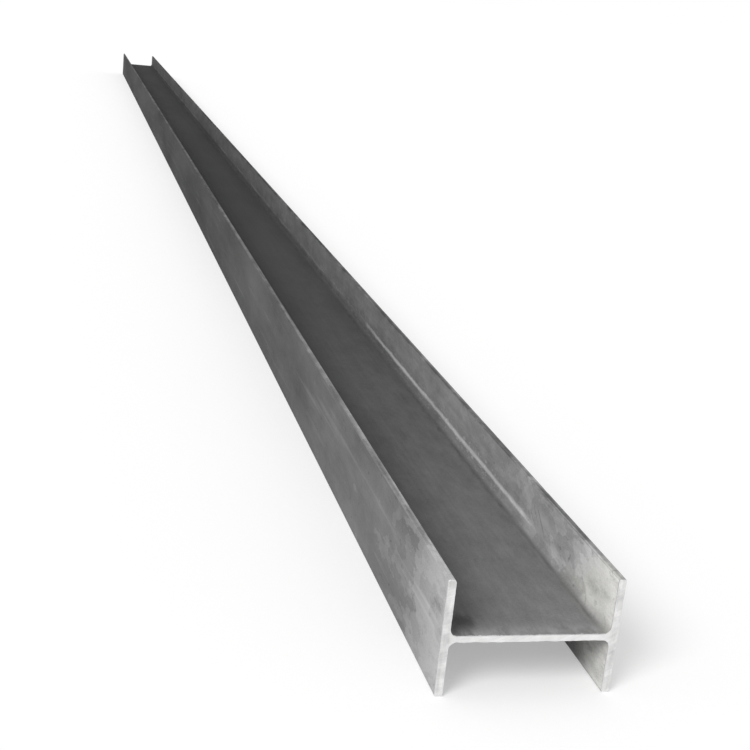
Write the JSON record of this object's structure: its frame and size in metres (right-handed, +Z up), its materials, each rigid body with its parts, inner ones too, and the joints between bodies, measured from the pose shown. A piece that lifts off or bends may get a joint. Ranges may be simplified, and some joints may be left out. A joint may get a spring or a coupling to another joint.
{
  "type": "steel h-beam",
  "caption": "Hot-rolled steel H-beam: a level web between upright parallel flanges, with rounded root fillets and square sawn ends, lying on its flange toes.",
  "frame": {"origin": "middle of the beam's length and depth, level with the lower flange toes that it rests on", "axes": "+X across the section from flange to flange, +Y along the beam from the front sawn end to the rear one, +Z up, square to the web"},
  "size_m": [0.294, 12, 0.2],
  "materials": {
    "mill_scale_steel": "satin"
  },
  "bodies": {
    "root": {"h_beam": "mill_scale_steel"}
  },
  "joints": []
}
